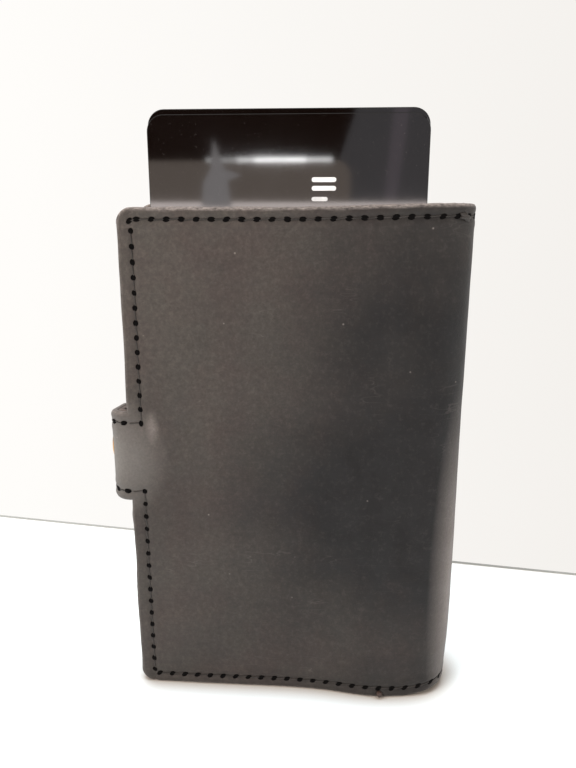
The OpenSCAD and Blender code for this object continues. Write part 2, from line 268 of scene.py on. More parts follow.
def leaf(name, point, run, height, outer, inner, rim, seed, flip=False, rows=3, bulge=0.1):
    """A closed sheet of leather. With flip, its run goes the other way round, as the strap's does.

    point turns run, height and depth into a place. Its outer and inner faces are the same grid
    at two depths, joined round the border by rows that go from one to the other in a shallow
    half-sine bulge, made uneven by a little noise."""
    ni, nj = run.shape
    count = ni * nj
    index = np.arange(count).reshape(ni, nj)
    quads = np.stack([index[:-1, :-1], index[1:, :-1], index[1:, 1:], index[:-1, 1:]], -1).reshape(-1, 4)
    border = np.concatenate([index[:-1, 0], index[-1, :-1], index[:0:-1, -1], index[0, :0:-1]])
    edge_run, edge_height = run.ravel()[border], height.ravel()[border]
    edge_place = np.stack([edge_run, edge_height], -1)
    along = np.roll(edge_place, -1, axis=0) - np.roll(edge_place, 1, axis=0)
    size = np.maximum(np.linalg.norm(along, axis=1, keepdims=True), 1e-9)
    out = np.stack([along[:, 1], -along[:, 0]], -1) / size
    top, under = outer.ravel()[border], inner.ravel()[border]
    layers = [point(run, height, outer).reshape(-1, 3), point(run, height, inner).reshape(-1, 3)]
    flats = [np.stack([run, depth, height], -1).reshape(-1, 3) for depth in (outer, inner)]
    rims = [rim.ravel(), rim.ravel()]
    for k in range(rows):
        t = (k + 1) / (rows + 1)
        rough = waves(edge_run, edge_height + 9 * k, 1.7, seed + k)
        push = bulge * math.sin(math.pi * t) * (0.75 + 0.35 * rough)
        r = edge_run + out[:, 0] * push
        h = edge_height + out[:, 1] * push
        d = top + (under - top) * t
        layers.append(point(r, h, d))
        flats.append(np.stack([r, d, h], -1))
        rims.append(rim.ravel()[border])
    rings = [border] + [2 * count + k * len(border) + np.arange(len(border)) for k in range(rows)]
    rings.append(border + count)
    sides = []
    for upper, lower in zip(rings[:-1], rings[1:]):
        sides.append(np.stack([upper, np.roll(upper, -1), np.roll(lower, -1), lower], -1))
    faces = np.concatenate([quads, quads[:, ::-1] + count] + [s[:, ::-1] for s in sides])
    flats = np.concatenate(flats)
    if flip:
        faces = faces[:, ::-1]
        flats[:, 0] *= -1
    return make_mesh(name, np.concatenate(layers), faces.tolist(), flats, np.concatenate(rims))


def merge(name, parts, smooth=True):
    """One mesh from several parts. Each is its points and a list of face arrays, one array for
    each number of corners."""
    starts = np.cumsum([0] + [len(points) for points, _ in parts[:-1]])
    faces = []
    for (_, kinds), start in zip(parts, starts):
        for kind in kinds:
            faces += (kind + start).tolist()
    return make_mesh(name, np.concatenate([points for points, _ in parts]), faces, smooth=smooth)


def ring_faces(rings, sides):
    """Faces of a turned shape: quads between its rings, and triangles to the two poles, which
    are the two points after the last ring."""
    i = np.arange(rings - 1)[:, None] * sides
    j = np.arange(sides)
    k = (j + 1) % sides
    last = rings * sides
    quads = np.stack([i + j, i + k, i + sides + k, i + sides + j], -1).reshape(-1, 4)
    near = np.stack([j * 0 + last, k, j], -1)
    away = np.stack([j * 0 + last + 1, last - sides + j, last - sides + k], -1)
    return [quads, near, away]


def tube(centres, radii, sides=8):
    """A closed round bar along a line of centres, with a radius at each, and a pole at both ends.
    Each ring is a circle across the line's direction."""
    centres, radii = np.asarray(centres, float), np.asarray(radii, float)
    ahead = np.gradient(centres, axis=0)
    ahead /= np.linalg.norm(ahead, axis=1, keepdims=True)
    helper = np.array([0.0, 0.0, 1.0]) if abs(ahead[0][2]) < 0.8 else np.array([1.0, 0.0, 0.0])
    one = np.cross(ahead, helper)
    one /= np.linalg.norm(one, axis=1, keepdims=True)
    two = np.cross(ahead, one)
    turn = np.arange(sides) / sides * TAU
    rings = centres[:, None] + radii[:, None, None] * (
        np.cos(turn)[None, :, None] * one[:, None] + np.sin(turn)[None, :, None] * two[:, None])
    poles = np.stack([centres[0] - ahead[0] * radii[0] * 0.6, centres[-1] + ahead[-1] * radii[-1] * 0.6])
    return np.concatenate([rings.reshape(-1, 3), poles]), ring_faces(len(centres), sides)


# --- Leather relief ---

def near_seam(run, height):
    """Distance to the cover's seams, in mm: lines at a fixed inset from every free edge. The side
    seam stops at the strap, where two seams run out along the strap's edges, and at the tab."""
    ends = np.abs(np.minimum(height, HEIGHT - height) - SEAM_INSET)
    seam_low, seam_top = STRAP_LOW + SEAM_INSET, STRAP_TOP - SEAM_INSET
    past = np.maximum(np.minimum(height - seam_low, seam_top - height), 0)
    side = np.hypot(run - SIDE_INSET, past)
    level = np.minimum(np.abs(height - seam_low), np.abs(height - seam_top))
    out = np.hypot(np.maximum(run - SIDE_INSET, 0), level)
    past_tab = np.maximum(np.minimum(height - TAB_LOW + 1, TAB_TOP + 1 - height), 0)
    far_side = np.hypot(FLAP_END - run - SIDE_INSET, past_tab)
    ends = np.where(run < SIDE_INSET, np.hypot(ends, SIDE_INSET - run), ends)
    return np.minimum(np.minimum(ends, side), np.minimum(out, far_side))


def panel_relief(run, height):
    """How far the cover's outer face stands off its nominal place, in mm: gentle waves, bulges
    low on both panels beside the spine, where the leather has stood and spread, a hollow along
    the spine that is deepest at the foot of its first bend, a soft shoulder beside the seam, and
    the trough that the stitches press."""
    relief = 0.10 + 0.10 * waves(run, height, 38, 3) + 0.03 * waves(run, height, 9, 4)
    relief = relief + 1.8 * bump(run, height, PANEL_RUN - 9.5, -2, 10, 20)
    relief = relief - 0.8 * bump(run, height, PANEL_RUN + 10, -2, 6.5, 13)
    relief = relief - 0.3 * bump(run, height, MIDDLE_RUN, 52, 6, 40)
    relief = relief + 0.4 * bump(run, height, PANEL_RUN - 4, 32, 13, 26)
    relief = relief + 0.8 * bump(run, height, FLAP_START + 11, 0, 12, 20)
    relief = relief - 0.17 * np.exp(-(near_seam(run, height) / 0.55) ** 2)
    relief = relief + 0.10 * np.exp(-((near_seam(run, height) - 1.3) / 0.7) ** 2)
    return relief


def side_wobble(height, seed):
    """Small unevenness of a hand-cut side edge, in mm."""
    return 0.16 * waves(height, height * 0, 26, seed) + 0.06 * waves(height, height * 0, 7, seed + 1)


def back_edge(height):
    """Run of the back panel's free edge: round corners and a slightly uneven cut that dies out
    where the strap leaves it."""
    away = np.clip(np.maximum(STRAP_LOW - height, height - STRAP_TOP) / 3, 0, 1)
    return corner_cut(height, CORNER_R) + away * side_wobble(height, 11)


def back_edge_distance(run, height):
    """Distance to the back panel's nearest cut edge: the side, the top or bottom, the round
    corners, or the inner corners where the strap leaves."""
    ends = np.minimum(height, HEIGHT - height)
    to_strap = np.minimum(np.abs(height - STRAP_LOW), np.abs(height - STRAP_TOP))
    at_strap = (height > STRAP_LOW) & (height < STRAP_TOP)
    inner = np.hypot(np.maximum(run, 0), to_strap)
    side = np.where(at_strap, inner, run - back_edge(height) + corner_cut(height, CORNER_R))
    round_corner = CORNER_R - np.hypot(CORNER_R - run, CORNER_R - ends)
    in_corner = (run < CORNER_R) & (ends < CORNER_R)
    return np.maximum(np.where(in_corner, round_corner, np.minimum(ends, side)), 0)


def flap_edge(height):
    """Run of the flap's free edge: round corners, an uneven cut, and a notch for the tab."""
    away = np.clip(np.maximum(TAB_LOW - height, height - TAB_TOP) / 3, 0, 1)
    notch = np.where((height > TAB_LOW) & (height < TAB_TOP), NOTCH_X - FLAP_X, 0)
    return FLAP_END - corner_cut(height, CORNER_R) - notch - away * side_wobble(height, 17)


def flap_edge_distance(run, height):
    """Distance to the flap's nearest cut edge."""
    ends = np.minimum(height, HEIGHT - height)
    side = flap_edge(height) - run
    round_corner = CORNER_R - np.hypot(CORNER_R - (FLAP_END - run), CORNER_R - ends)
    in_corner = (FLAP_END - run < CORNER_R) & (ends < CORNER_R)
    return np.maximum(np.where(in_corner, round_corner, np.minimum(ends, side)), 0)


def rim_amount(distance, run, height, seed):
    """How much of the cut edge's colour shows: most at the edge, fading unevenly over about
    0.7 mm. The top edge is the palest."""
    top = np.clip((height - HEIGHT + 4) / 3, 0, 1)
    return (0.3 + 0.7 * top) * np.clip(1.15 - distance / (0.62 + 0.16 * waves(run, height, 6, seed)), 0, 1)


def cover_faces(relief, distance):
    """Depths of the outer ply's two faces, with its cut edges rounded."""
    return relief - rolled(distance, 0.5, 0.85), relief - OUTER_PLY + rolled(distance, 0.12, 0.3)


def lining_faces(relief, distance):
    """Depths of the lining's two faces, with its cut edges rounded."""
    under_cover = relief - OUTER_PLY - PLY_GAP - rolled(distance, 0.15, 0.35)
    return under_cover, relief - BOTH_PLIES + rolled(distance, 0.2, 0.5)


step = 0.62
heights = marks(0, HEIGHT, step, both_ends(0, HEIGHT) + [STRAP_LOW, STRAP_TOP] + [
    STRAP_LOW + e for e in NEAR_EDGE[:9]] + [STRAP_TOP - e for e in NEAR_EDGE[:9]])
flap_heights = marks(0, HEIGHT, step, both_ends(0, HEIGHT) + [
    TAB_LOW - 0.02, TAB_LOW + 0.02, TAB_TOP - 0.02, TAB_TOP + 0.02])


def side_grid(low_edge, high_edge, rows, ends):
    """A grid of runs and heights between two edges: each row's marks are stretched to fit."""
    length = ends[1] - ends[0]
    extra = list(NEAR_EDGE) + [length - e for e in NEAR_EDGE]
    columns = marks(0, length, step, extra) / length
    low, high = low_edge(rows), high_edge(rows)
    run = low[None, :] + columns[:, None] * (high - low)[None, :]
    return run, np.broadcast_to(rows[None, :], run.shape).copy()


def middle_edge(height):
    return MIDDLE_RUN + 0 * height


# Back panel and the near half of the spine, outer ply
run, height = side_grid(back_edge, middle_edge, heights, (0, MIDDLE_RUN))
distance = back_edge_distance(run, height)
relief = panel_relief(run, height)
cover_back = leaf(
    "cover_back", cover_point, run, height,
    *cover_faces(relief, distance),
    rim_amount(distance, run, height, 21), 31)

# The same region's lining, which was cut a little wider below the strap


def lining_edge(height):
    """Run of the lining's free edge: below the strap it shows beyond the outer ply, unevenly."""
    below = np.clip((STRAP_LOW - height) / 4, 0, 1) * np.clip(height / 4, 0, 1)
    return back_edge(height) - below * (0.3 + 0.3 * waves(height, height * 0, 19, 23))


run, height = side_grid(lining_edge, middle_edge, heights, (0, MIDDLE_RUN))
distance = back_edge_distance(run, height)
relief = panel_relief(run, height)
liner_back = leaf(
    "liner_back", cover_point, run, height,
    *lining_faces(relief, distance),
    rim_amount(distance, run, height, 25), 41, bulge=0.16)

# Far half of the spine and the flap
run, height = side_grid(middle_edge, flap_edge, flap_heights, (MIDDLE_RUN, FLAP_END))
distance = flap_edge_distance(run, height)
relief = panel_relief(run, height)
cover_front = leaf(
    "cover_front", cover_point, run, height,
    *cover_faces(relief, distance),
    rim_amount(distance, run, height, 27), 51)
liner_front = leaf(
    "liner_front", cover_point, run, height,
    *lining_faces(relief, distance),
    rim_amount(distance, run, height, 29), 61, bulge=0.14)

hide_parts("back_cover", "spine_bend_back", "spine_cover")
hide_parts("back_lining", "spine_lining")
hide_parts("flap_cover", "spine_bend_front")
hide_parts("flap_lining")

# --- Strap ---

STRAP_END_R = 4.5
strap_middle = (STRAP_LOW + STRAP_TOP) / 2
strap_rows = heights[(heights >= STRAP_LOW - 0.001) & (heights <= STRAP_TOP + 0.001)]


def strap_edge(height):
    """Run of the strap's free end: flat with two round corners."""
    near = np.clip(STRAP_END_R - np.minimum(height - STRAP_LOW, STRAP_TOP - height), 0, STRAP_END_R)
    return STRAP_END - STRAP_END_R + np.sqrt(STRAP_END_R ** 2 - near ** 2)


def strap_start(height):
    return 0 * height


def strap_edge_distance(run, height):
    """Distance to the strap's nearest cut edge."""
    sides = np.minimum(height - STRAP_LOW, STRAP_TOP - height)
    along = STRAP_END - run
    round_corner = STRAP_END_R - np.hypot(STRAP_END_R - along, STRAP_END_R - sides)
    in_corner = (along < STRAP_END_R) & (sides < STRAP_END_R)
    return np.maximum(np.where(in_corner, round_corner, np.minimum(sides, along)), 0)


def strap_relief(run, height):
    """The strap's unevenness: the panel's own, carried on, and the trough of the end seam."""
    apart = np.abs(STRAP_END - run - SEAM_INSET)
    return panel_relief(-run, height) - 0.15 * np.exp(-(apart / 0.5) ** 2)


run, height = side_grid(strap_start, strap_edge, strap_rows, (0, STRAP_END))
distance = strap_edge_distance(run, height)
relief = strap_relief(run, height)
strap_leather = leaf(
    "strap_leather", strap_point, run, height,
    *cover_faces(relief, distance),
    rim_amount(distance, run, height, 73), 81, flip=True)
strap_liner = leaf(
    "strap_liner", strap_point, run, height,
    *lining_faces(relief, distance),
    rim_amount(distance, run, height, 75), 91, flip=True, bulge=0.16)
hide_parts("strap_bend", "strap_cover")
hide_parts("strap_lining")

# --- Stitches ---

hole_parts = {"back": [], "front": [], "strap": []}
thread_parts = {"back": [], "front": [], "strap": []}


def stitch(group, point, relief_at, a, b, seed):
    """One stitch between two holes, given as (run, height) pairs: a thin thread that rises from
    the first hole, lies in the trough and dips into the next, turned a little off the seam's
    line."""
    rng = np.random.default_rng(seed)
    a, b = np.array(a, float), np.array(b, float)
    along = (b - a) / np.linalg.norm(b - a)
    side = np.array([-along[1], along[0]])
    tilt = 0.12 + rng.normal(0, 0.05)
    t = np.linspace(0, 1, 9)
    aside = tilt * (t[:, None] - 0.5) * 2 + rng.normal(0, 0.03)
    flat = a + (b - a) * (0.08 + 0.84 * t[:, None]) + side * aside
    arch = -0.06 + 0.12 * np.sqrt(np.clip(1 - (2 * t - 1) ** 4, 0, 1))
    line = point(flat[:, 0], flat[:, 1], relief_at(flat[:, 0], flat[:, 1]) + arch)
    thread_parts[group].append(tube(line, 0.13 + 0.02 * np.sin(t * math.pi * 3 + seed), 7))


def awl_mark(group, point, relief_at, centre, along, seed):
    """The dark mouth of one stitch hole: a flattened ball in the leather's face, drawn out
    along the seam and turned a little, with half axes near 0.62 (0.76 in a level seam), 0.5 and 0.12."""
    # The mouth is painted shadow: a near-black patch standing in for the shade inside the hole
    rng = np.random.default_rng(seed)
    lean = 0.5 if centre[1] < 5 else 0.12
    turn = math.atan2(along[1], along[0]) + lean + rng.normal(0, 0.15)
    level = abs(along[0]) / math.hypot(along[0], along[1])
    long, wide = rng.uniform(0.56, 0.68) + 0.14 * level, rng.uniform(0.46, 0.54)
    u, v = np.meshgrid(np.arange(12) / 12 * TAU, np.linspace(-math.pi / 2, math.pi / 2, 7)[1:-1])
    ball = np.stack([np.cos(u) * np.cos(v), np.sin(u) * np.cos(v), np.sin(v)], -1).reshape(-1, 3)
    ball = np.concatenate([ball, [[0, 0, -1], [0, 0, 1]]])
    run = centre[0] + long * ball[:, 0] * math.cos(turn) - wide * ball[:, 1] * math.sin(turn)
    height = centre[1] + long * ball[:, 0] * math.sin(turn) + wide * ball[:, 1] * math.cos(turn)
    points = point(run, height, relief_at(run, height) + 0.07 + 0.12 * ball[:, 2])
    hole_parts[group].append((points, ring_faces(5, 12)))


def seam(group, point, relief_at, start, end, seed):
    """A row of stitches between two (run, height) points, at the stitch pitch, with a hole at
    each end of every stitch."""
    start, end = np.array(start, float), np.array(end, float)
    count = max(1, int(round(np.linalg.norm(end - start) / STITCH_PITCH)))
    spots = [start + (end - start) * i / count for i in range(count + 1)]
    for i in range(count):
        stitch(group, point, relief_at, spots[i], spots[i + 1], seed * 100 + i)
    for i, spot in enumerate(spots):
        awl_mark(group, point, relief_at, spot, end - start, seed * 1000 + i)


low, high = SEAM_INSET, HEIGHT - SEAM_INSET
far_seam = FLAP_END - SIDE_INSET
for level, seed in ((high, 1), (low, 2)):
    seam("back", cover_point, panel_relief, (SIDE_INSET + 1.2, level), (MIDDLE_RUN - 0.8, level), seed)
    seam("front", cover_point, panel_relief, (MIDDLE_RUN + 0.8, level), (far_seam - 1.2, level), seed + 10)
lowest = (SIDE_INSET + 0.1, low + 0.9)
seam("back", cover_point, panel_relief, lowest, (SIDE_INSET, STRAP_LOW + SEAM_INSET), 3)
seam("back", cover_point, panel_relief, (SIDE_INSET, STRAP_TOP - SEAM_INSET), (SIDE_INSET, high - 2.2), 4)
for level, seed in ((STRAP_LOW + SEAM_INSET, 17), (STRAP_TOP - SEAM_INSET, 18), (high - 0.2, 19)):
    reach = SIDE_INSET - 2.7 if seed < 19 else 3.8
    stitch("back", cover_point, panel_relief, (SIDE_INSET, level), (reach, level), seed)
awl_mark("back", cover_point, panel_relief, (SIDE_INSET - 0.2, high - 0.3), (1, 1), 20)
seam("front", cover_point, panel_relief, (far_seam, low + 0.6), (far_seam, TAB_LOW - 1), 5)
seam("front", cover_point, panel_relief, (far_seam, TAB_TOP + 1), (far_seam, high - 0.6), 6)
for level, seed in ((STRAP_LOW + SEAM_INSET, 7), (STRAP_TOP - SEAM_INSET, 8)):
    seam("strap", strap_point, strap_relief, (0.7, level), (STRAP_END - SEAM_INSET - 0.8, level), seed)
end_seam = STRAP_END - SEAM_INSET
seam("strap", strap_point, strap_relief, (end_seam, STRAP_LOW + 3), (end_seam, STRAP_TOP - 3), 9)


def knot(point, relief_at, run, height, size, seed, turns=4):
    """Melted ends of the thread: a few short, thick bars heaped on one spot in different
    directions."""
    rng = np.random.default_rng(seed)
    bars = []
    for i in range(turns):
        turn = rng.uniform(0, TAU)
        t = np.linspace(-1, 1, 6)
        r = run + size * t * math.cos(turn) * 0.8 + rng.normal(0, 0.15)
        h = height + size * t * math.sin(turn) * 0.5 + rng.normal(0, 0.1)
        lift = relief_at(r, h) + 0.06 + 0.18 * (1 - t * t) + 0.04 * i
        bars.append(tube(point(r, h, lift), 0.2 + 0.22 * (1 - t * t), 8))
    return bars


thread_parts["back"] += knot(cover_point, panel_relief, PANEL_RUN + 4.5, HEIGHT - 2.3, 1.5, 5, 6)

stitching = {}
for group, parts in thread_parts.items():
    stitching[group] = merge("thread_" + group, parts)
    stitching["holes_" + group] = merge("holes_" + group, hole_parts[group])
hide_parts("back_stitching")
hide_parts("flap_stitching")
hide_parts("strap_stitching")

# The melted end of the thread: a small bead on the lower edge near the bulge
t = np.linspace(-1, 1, 9)
bead_run, bead_height = PANEL_RUN - 8.6 + 0.2 * t, 1.0 - 0.5 * t
bead_line = cover_point(bead_run, bead_height, panel_relief(bead_run, bead_height) + 0.25)
thread_bead = merge("thread_bead", [tube(bead_line, 0.2 + 0.45 * np.sqrt(1 - (0.95 * t) ** 2), 14)])

# --- Cards ---


def outline(width, tall, radius, inset, per_corner=10):
    """A rectangle with round corners, moved in by an inset, as points round its middle."""
    r = max(radius - inset, 0.01)
    turn = np.linspace(0, math.pi / 2, per_corner)
    half = np.array([width / 2 - radius, tall / 2 - radius])
    corners = []
    for i, (sx, sz) in enumerate(((1, 1), (-1, 1), (-1, -1), (1, -1))):
        a = turn + i * math.pi / 2
        corners.append(np.stack([sx * half[0] + r * np.cos(a), sz * half[1] + r * np.sin(a)], -1))
    return np.concatenate(corners)


def plate(low, high, radius, edge):
    """A flat plate with round corners and softened edges: the same outline at six depths,
    drawn in by the edge at the two faces, and closed by the two faces."""
    middle = (low + high) / 2
    width, tall = high[0] - low[0], high[2] - low[2]
    loops = []
    for inset, y in (
            (edge, low[1]), (0.3 * edge, low[1] + 0.3 * edge), (0, low[1] + edge),
            (0, high[1] - edge), (0.3 * edge, high[1] - 0.3 * edge), (edge, high[1])):
        shape = outline(width, tall, radius, inset)
        loops.append(np.stack([middle[0] + shape[:, 0], np.full(len(shape), y), middle[2] + shape[:, 1]], -1))
    n = len(loops[0])
    i = np.arange(n)
    j = (i + 1) % n
    k = np.arange(5)[:, None] * n
    sides = np.stack([k + i, k + n + i, k + n + j, k + j], -1).reshape(-1, 4)
    return np.concatenate(loops), [np.stack([i, 5 * n + i[::-1]]), sides]


cards = {}
for name in ("front_card", "rear_card"):
    low_corner, high_corner = span(name)
    card_plate = plate(low_corner, high_corner, CARD_CORNER_R, CARD_EDGE)
    cards[name] = merge(name + "_plate", [card_plate], smooth=False)
    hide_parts(name)

card_low = span("front_card")[0]
bars = []
for x, z, wide, tall in ((7.9, 110.2, 4.7, 0.9), (7.9, 108.6, 4.7, 0.9), (7.1, 106.6, 3.1, 0.8)):
    low_corner = np.array([x - wide / 2, card_low[1] - 0.02, z - tall / 2])
    high_corner = np.array([x + wide / 2, card_low[1] + 0.05, z + tall / 2])
    bars.append(plate(low_corner, high_corner, tall / 2 - 0.02, 0.01))
card_mark = merge("card_mark", bars, smooth=False)


# --- Brass cap ---

def lathe(name, profile, centre, axis, around, sides=72):
    """A turned solid: the profile (radius, distance along the axis) goes round the axis.
    Both ends of the profile lie on the axis and become poles."""
    profile = np.array(profile, float)
    axis, around = np.array(axis, float), np.array(around, float)
    across = np.cross(axis, around)
    turn = np.arange(sides) / sides * TAU
    rings = profile[1:-1, 0][:, None, None] * (
        np.cos(turn)[None, :, None] * around + np.sin(turn)[None, :, None] * across)
    rings = rings + profile[1:-1, 1][:, None, None] * axis + centre
    poles = [centre + profile[0, 1] * axis, centre + profile[-1, 1] * axis]
    points = np.concatenate([rings.reshape(-1, 3), poles])
    return merge(name, [(points, ring_faces(len(profile) - 2, sides))])


cap_low, cap_high = span("snap_cap")
cap_centre = np.array([STRAP_X, (cap_low[1] + cap_high[1]) / 2, (cap_low[2] + cap_high[2]) / 2])
cap_r = (cap_high[1] - cap_low[1]) / 2
cap_out = STRAP_X - cap_low[0]
cap_in = cap_high[0] - STRAP_X
edge_turn = np.linspace(-math.pi / 2, math.pi / 2, 9)
profile = [(0, -cap_in), (1.2, -cap_in), (1.2, -0.05), (cap_r - 0.45, -0.05)]
profile += [(cap_r - 0.45 + 0.45 * math.cos(a), 0.27 + 0.32 * math.sin(a)) for a in edge_turn]
profile += [(cap_r - 0.75, 0.54), (cap_r - 0.95, 0.42), (cap_r - 1.15, 0.4)]
dome_r = cap_r - 1.15
profile += [(t, 0.4 + (cap_out - 0.55) * (1 - (t / dome_r) ** 2)) for t in (2.8, 2.2, 1.6, 1.0, 0.5, 0)]
brass_cap = lathe("brass_cap", profile, cap_centre, (-1, 0, 0), (0, 1, 0))
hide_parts("snap_cap")


# --- Materials ---

def linear(code):
    """An sRGB hex colour as linear RGBA."""
    values = [int(code[i:i + 2], 16) / 255 for i in (1, 3, 5)]
    return [v / 12.92 if v <= 0.04045 else ((v + 0.055) / 1.055) ** 2.4 for v in values] + [1.0]


def add(tree, kind, values=None, **settings):
    """Adds a node, sets its properties and fills its inputs. A value is a plain one, a socket to
    link from, or a node, whose first output is linked."""
    item = tree.nodes.new(kind)
    for key, value in settings.items():
        setattr(item, key, value)
    for key, value in (values or {}).items():
        if isinstance(value, bpy.types.Node):
            value = value.outputs[0]
        if isinstance(value, bpy.types.NodeSocket):
            tree.links.new(value, item.inputs[key])
        else:
            item.inputs[key].default_value = value
    return item


def start_material(name, shader_values):
    """A material with a Principled shader whose plain values are set on its own sockets."""
    material = bpy.data.materials.new(name)
    material.use_nodes = True
    tree = material.node_tree
    tree.nodes.clear()
    shader = add(tree, "ShaderNodeBsdfPrincipled", shader_values)
    add(tree, "ShaderNodeOutputMaterial", {"Surface": shader})
    return material, tree, shader


def in_mm(tree, attribute=None):
    """Coordinates in mm: the leather's own flat place where it has one, or the object's."""
    if attribute:
        return add(tree, "ShaderNodeAttribute", attribute_name=attribute).outputs["Vector"]
    place = add(tree, "ShaderNodeTexCoord").outputs["Object"]
    return add(tree, "ShaderNodeVectorMath", {0: place, 1: (1000,) * 3}, operation="MULTIPLY").outputs[0]


def leather(name, light, dark, edge, rough, on_cover=True, attribute="flat", marks_on=1.0):
    """Vegetable-tanned, waxed leather. It gives the eye a matte face with a fine pebble, cloudy
    lighter and darker areas where the wax has moved, hairline scratches and a few pale specks."""
    material, tree, shader = start_material(name, {
        "Specular IOR Level": 0.32, "IOR": 1.45, "Sheen Weight": 0.06, "Sheen Roughness": 0.5})
    light, dark, edge = linear(light), linear(dark), linear(edge)
    where = in_mm(tree, attribute)

    # Clouds of 26 mm with patches of 7 mm in them
    clouds = add(tree, "ShaderNodeTexNoise", {
        "Vector": where, "Scale": 1 / 26, "Detail": 4, "Roughness": 0.6})
    patches = add(tree, "ShaderNodeTexNoise", {
        "Vector": where, "Scale": 1 / 7, "Detail": 4, "Roughness": 0.6})
    shade = add(tree, "ShaderNodeMix", {0: 0.3, 2: clouds, 3: patches})
    shade = add(tree, "ShaderNodeMapRange", {"Value": shade, "From Min": 0.36, "From Max": 0.64})
    if on_cover:
        # Painted light and shade: paler away from the spine and at the top, where light falls, and darker in
        # two patches beside the spine, where shade falls
        parts = add(tree, "ShaderNodeSeparateXYZ", {0: where})
        from_spine = add(tree, "ShaderNodeMath", {0: parts, 1: MIDDLE_RUN}, operation="SUBTRACT")
        from_spine = add(tree, "ShaderNodeMath", {0: from_spine}, operation="ABSOLUTE")
        paler = add(tree, "ShaderNodeMapRange", {
            "Value": from_spine, "From Min": 6, "From Max": 74, "To Max": 0.6})
        shade = add(tree, "ShaderNodeMath", {0: shade, 1: 0.34, 2: paler}, operation="MULTIPLY_ADD")
        upper = add(tree, "ShaderNodeMapRange", {
            "Value": parts.outputs[2], "From Min": 50, "From Max": 100, "To Max": 0.34})
        shade = add(tree, "ShaderNodeMath", {0: shade, 1: upper}, operation="ADD")
        for spot, near, reach, amount in (
                ((PANEL_RUN - 6, 0, 50), 8, 40, 0.46), ((PANEL_RUN - 3, 0, 92), 4, 34, 0.4)):
            apart = add(tree, "ShaderNodeVectorMath", {0: where, 1: spot}, operation="DISTANCE")
            spine_shade = add(tree, "ShaderNodeMapRange", {
                "Value": apart.outputs["Value"], "From Min": near, "From Max": reach,
                "To Min": amount, "To Max": 0.0})
            shade = add(tree, "ShaderNodeMath", {0: shade, 1: spine_shade}, operation="SUBTRACT")
    colour = add(tree, "ShaderNodeMix", {0: shade, 6: dark, 7: light}, data_type="RGBA").outputs[2]

    # Redder patches of 17 mm, and a close mottle of 1.2 mm between darker and paler
    hue = add(tree, "ShaderNodeTexNoise", {"Vector": where, "Scale": 1 / 17, "Detail": 5, "Roughness": 0.65})
    hue = add(tree, "ShaderNodeMapRange", {"Value": hue, "From Min": 0.42, "From Max": 0.62, "To Max": 0.85})
    redder = add(tree, "ShaderNodeMix", {
        0: 1.0, 6: colour, 7: linear("#fff0f2")}, data_type="RGBA", blend_type="MULTIPLY").outputs[2]
    colour = add(tree, "ShaderNodeMix", {0: hue, 6: colour, 7: redder}, data_type="RGBA").outputs[2]
    mottle = add(tree, "ShaderNodeTexNoise", {"Vector": where, "Scale": 0.85, "Detail": 7, "Roughness": 0.8})
    darker = add(tree, "ShaderNodeMapRange", {
        "Value": mottle, "From Min": 0.25, "From Max": 0.6, "To Min": 0.5, "To Max": 0.0})
    colour = add(tree, "ShaderNodeMix", {0: darker, 6: colour, 7: dark}, data_type="RGBA").outputs[2]
    paler = add(tree, "ShaderNodeMapRange", {
        "Value": mottle, "From Min": 0.52, "From Max": 0.85, "To Max": 0.06})
    colour = add(tree, "ShaderNodeMix", {0: paler, 6: colour, 7: edge}, data_type="RGBA").outputs[2]
    if on_cover:
        # Paler round the strap's bend
        apart = add(tree, "ShaderNodeVectorMath", {0: where, 1: (-6, 0, strap_middle)}, operation="DISTANCE")
        strap_paler = add(tree, "ShaderNodeMapRange", {
            "Value": apart.outputs["Value"], "From Min": 3, "From Max": 15, "To Min": 0.9, "To Max": 0.0})
        colour = add(tree, "ShaderNodeMix", {
            0: strap_paler, 6: colour, 7: linear("#6b6560")}, data_type="RGBA").outputs[2]
        # Painted highlight along the first bend low down, together with pull-up lightening where the leather
        # is stretched
        bend = add(tree, "ShaderNodeMapping", {
            "Vector": where, "Location": (-(PANEL_RUN + 0.62 * ARC_RUN) / 6, 0, -26 / 46),
            "Scale": (1 / 6, 0, 1 / 46)})
        bend = add(tree, "ShaderNodeVectorMath", {0: bend}, operation="LENGTH")
        bend = add(tree, "ShaderNodeMapRange", {
            "Value": bend.outputs["Value"], "From Min": 0.1, "From Max": 1.0, "To Min": 0.36, "To Max": 0.0})
        colour = add(tree, "ShaderNodeMix", {0: bend, 6: colour, 7: edge}, data_type="RGBA").outputs[2]
        # A pale scuff by the strap's upper edge, broken up by the mottle
        scuff = add(tree, "ShaderNodeMapping", {
            "Vector": where, "Location": (-5.2 / 1.6, 0, -(STRAP_TOP - 3) / 4.2),
            "Scale": (1 / 1.6, 0, 1 / 4.2)})
        scuff = add(tree, "ShaderNodeVectorMath", {0: scuff}, operation="LENGTH")
        scuff = add(tree, "ShaderNodeMapRange", {
            "Value": scuff.outputs["Value"], "From Min": 0.0, "From Max": 1.0, "To Min": 0.5, "To Max": 0.0})
        scuff = add(tree, "ShaderNodeMath", {0: scuff, 1: mottle}, operation="MULTIPLY")
        colour = add(tree, "ShaderNodeMix", {0: scuff, 6: colour, 7: edge}, data_type="RGBA").outputs[2]

